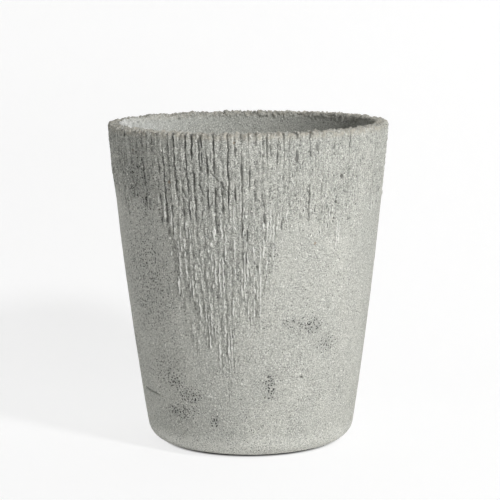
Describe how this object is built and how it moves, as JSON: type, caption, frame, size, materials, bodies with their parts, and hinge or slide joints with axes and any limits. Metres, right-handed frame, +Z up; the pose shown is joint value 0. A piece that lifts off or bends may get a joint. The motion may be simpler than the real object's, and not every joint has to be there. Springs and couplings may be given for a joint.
{
  "type": "tall planter",
  "caption": "Tall round floor planter cast in raw grey concrete, tapering to a rounded foot, with uneven vertical grooves, a drain hole, a rubber plug and felt pads.",
  "frame": {"origin": "middle of the footprint, on the ground that the pads rest on", "axes": "+Z up along the pot's axis, -Y the side seen in the picture, +X to the right of it"},
  "size_m": [0.2994, 0.2994, 0.344],
  "materials": {
    "concrete": "matte",
    "rubber": "matte",
    "felt": "matte"
  },
  "bodies": {
    "pot": {"pot_shell": "concrete", "foot_pad_back_right": "felt", "foot_pad_back_left": "felt", "foot_pad_front_left": "felt", "foot_pad_front_right": "felt"},
    "plug": {"drain_plug": "rubber"}
  },
  "joints": [
    {"name": "plug_lift", "type": "slide", "parent": "pot", "child": "plug", "axis": [0, 0, 1], "range_m": [0, 0.36]}
  ]
}
